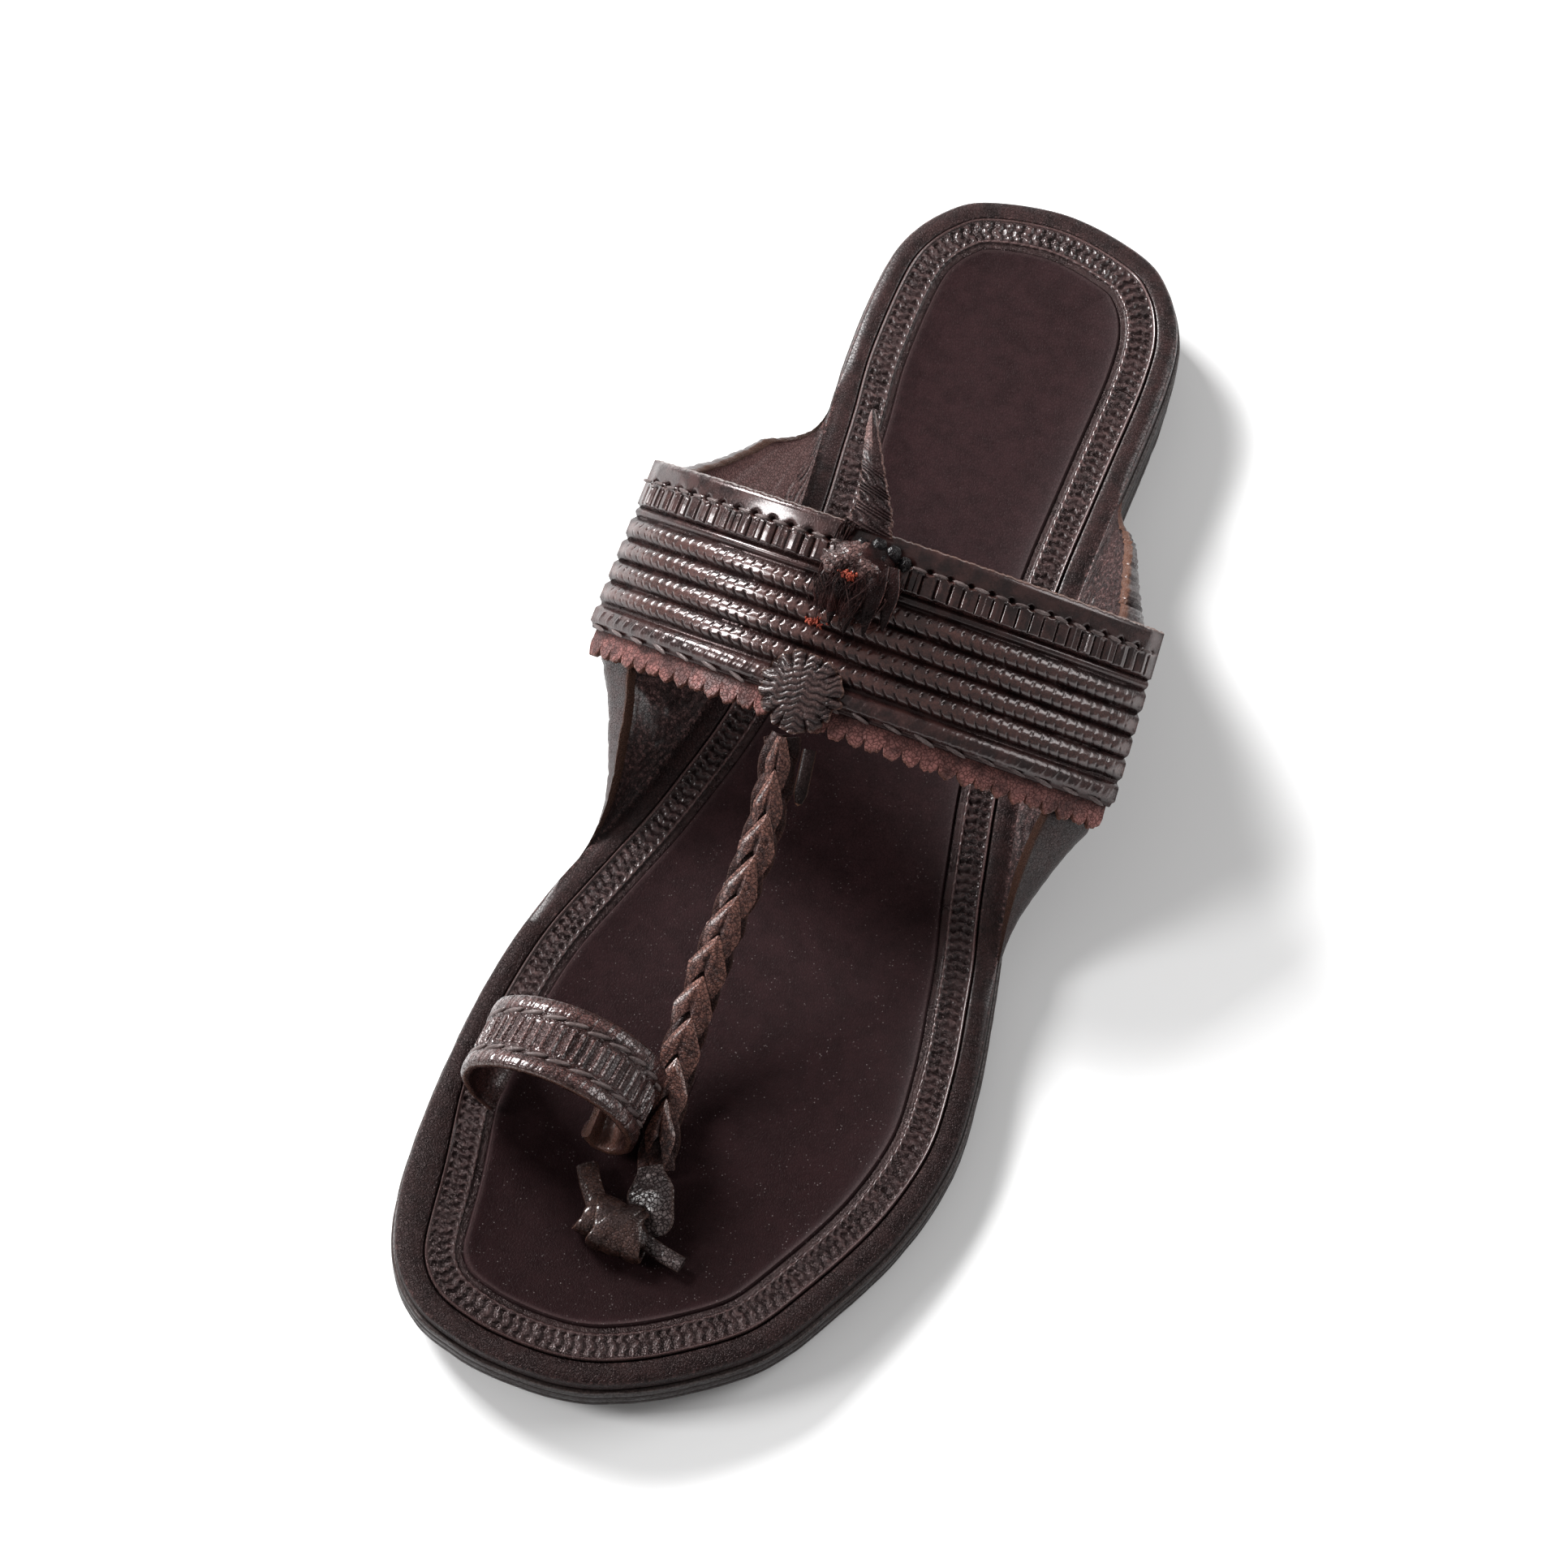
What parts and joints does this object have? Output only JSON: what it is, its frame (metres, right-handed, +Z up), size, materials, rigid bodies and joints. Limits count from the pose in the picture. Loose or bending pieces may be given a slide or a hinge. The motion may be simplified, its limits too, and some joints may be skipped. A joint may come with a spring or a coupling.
{
  "type": "kolhapuri sandal",
  "caption": "Left flat leather toe-ring sandal: a shaped sole with a low heel, a broad corded instep strap held by side flaps, a toe loop and a plaited thong.",
  "frame": {"origin": "on the ground under the middle of the shoe's bounding box", "axes": "+Y to the heel, -Y to the toe, +X to the outer (little toe) side, +Z up"},
  "size_m": [0.109, 0.28, 0.08],
  "materials": {
    "heel_lift": "worn stacked leather, dull, dark brown",
    "outsole": "dark sole leather with a burnished edge",
    "insole": "dark brown vegetable-tanned leather, fine grain, embossed border",
    "strap_lining": "thin reddish brown leather, scalloped front edge",
    "instep_strap": "polished dark brown leather laced in raised cords",
    "rosette": "polished dark brown leather disc with a pinked edge",
    "pompom": "dark red-brown tuft with small black beads",
    "leaf_tab": "dark brown leather with worn light edges",
    "braid": "reddish brown plaited leather, worn on the crests",
    "braid_end": "dark brown leather strip",
    "toe_ring": "polished dark brown leather with two stitch lines",
    "toe_knot": "knotted brown leather thong, scuffed"
  },
  "bodies": {
    "root": {"heel_lift": "heel_lift", "outsole": "outsole", "insole": "insole", "strap_lining": "strap_lining", "instep_strap": "instep_strap", "rosette": "rosette", "pompom": "pompom", "leaf_tab": "leaf_tab", "braid": "braid", "braid_end": "braid_end", "toe_ring": "toe_ring", "toe_knot": "toe_knot"}
  },
  "joints": []
}
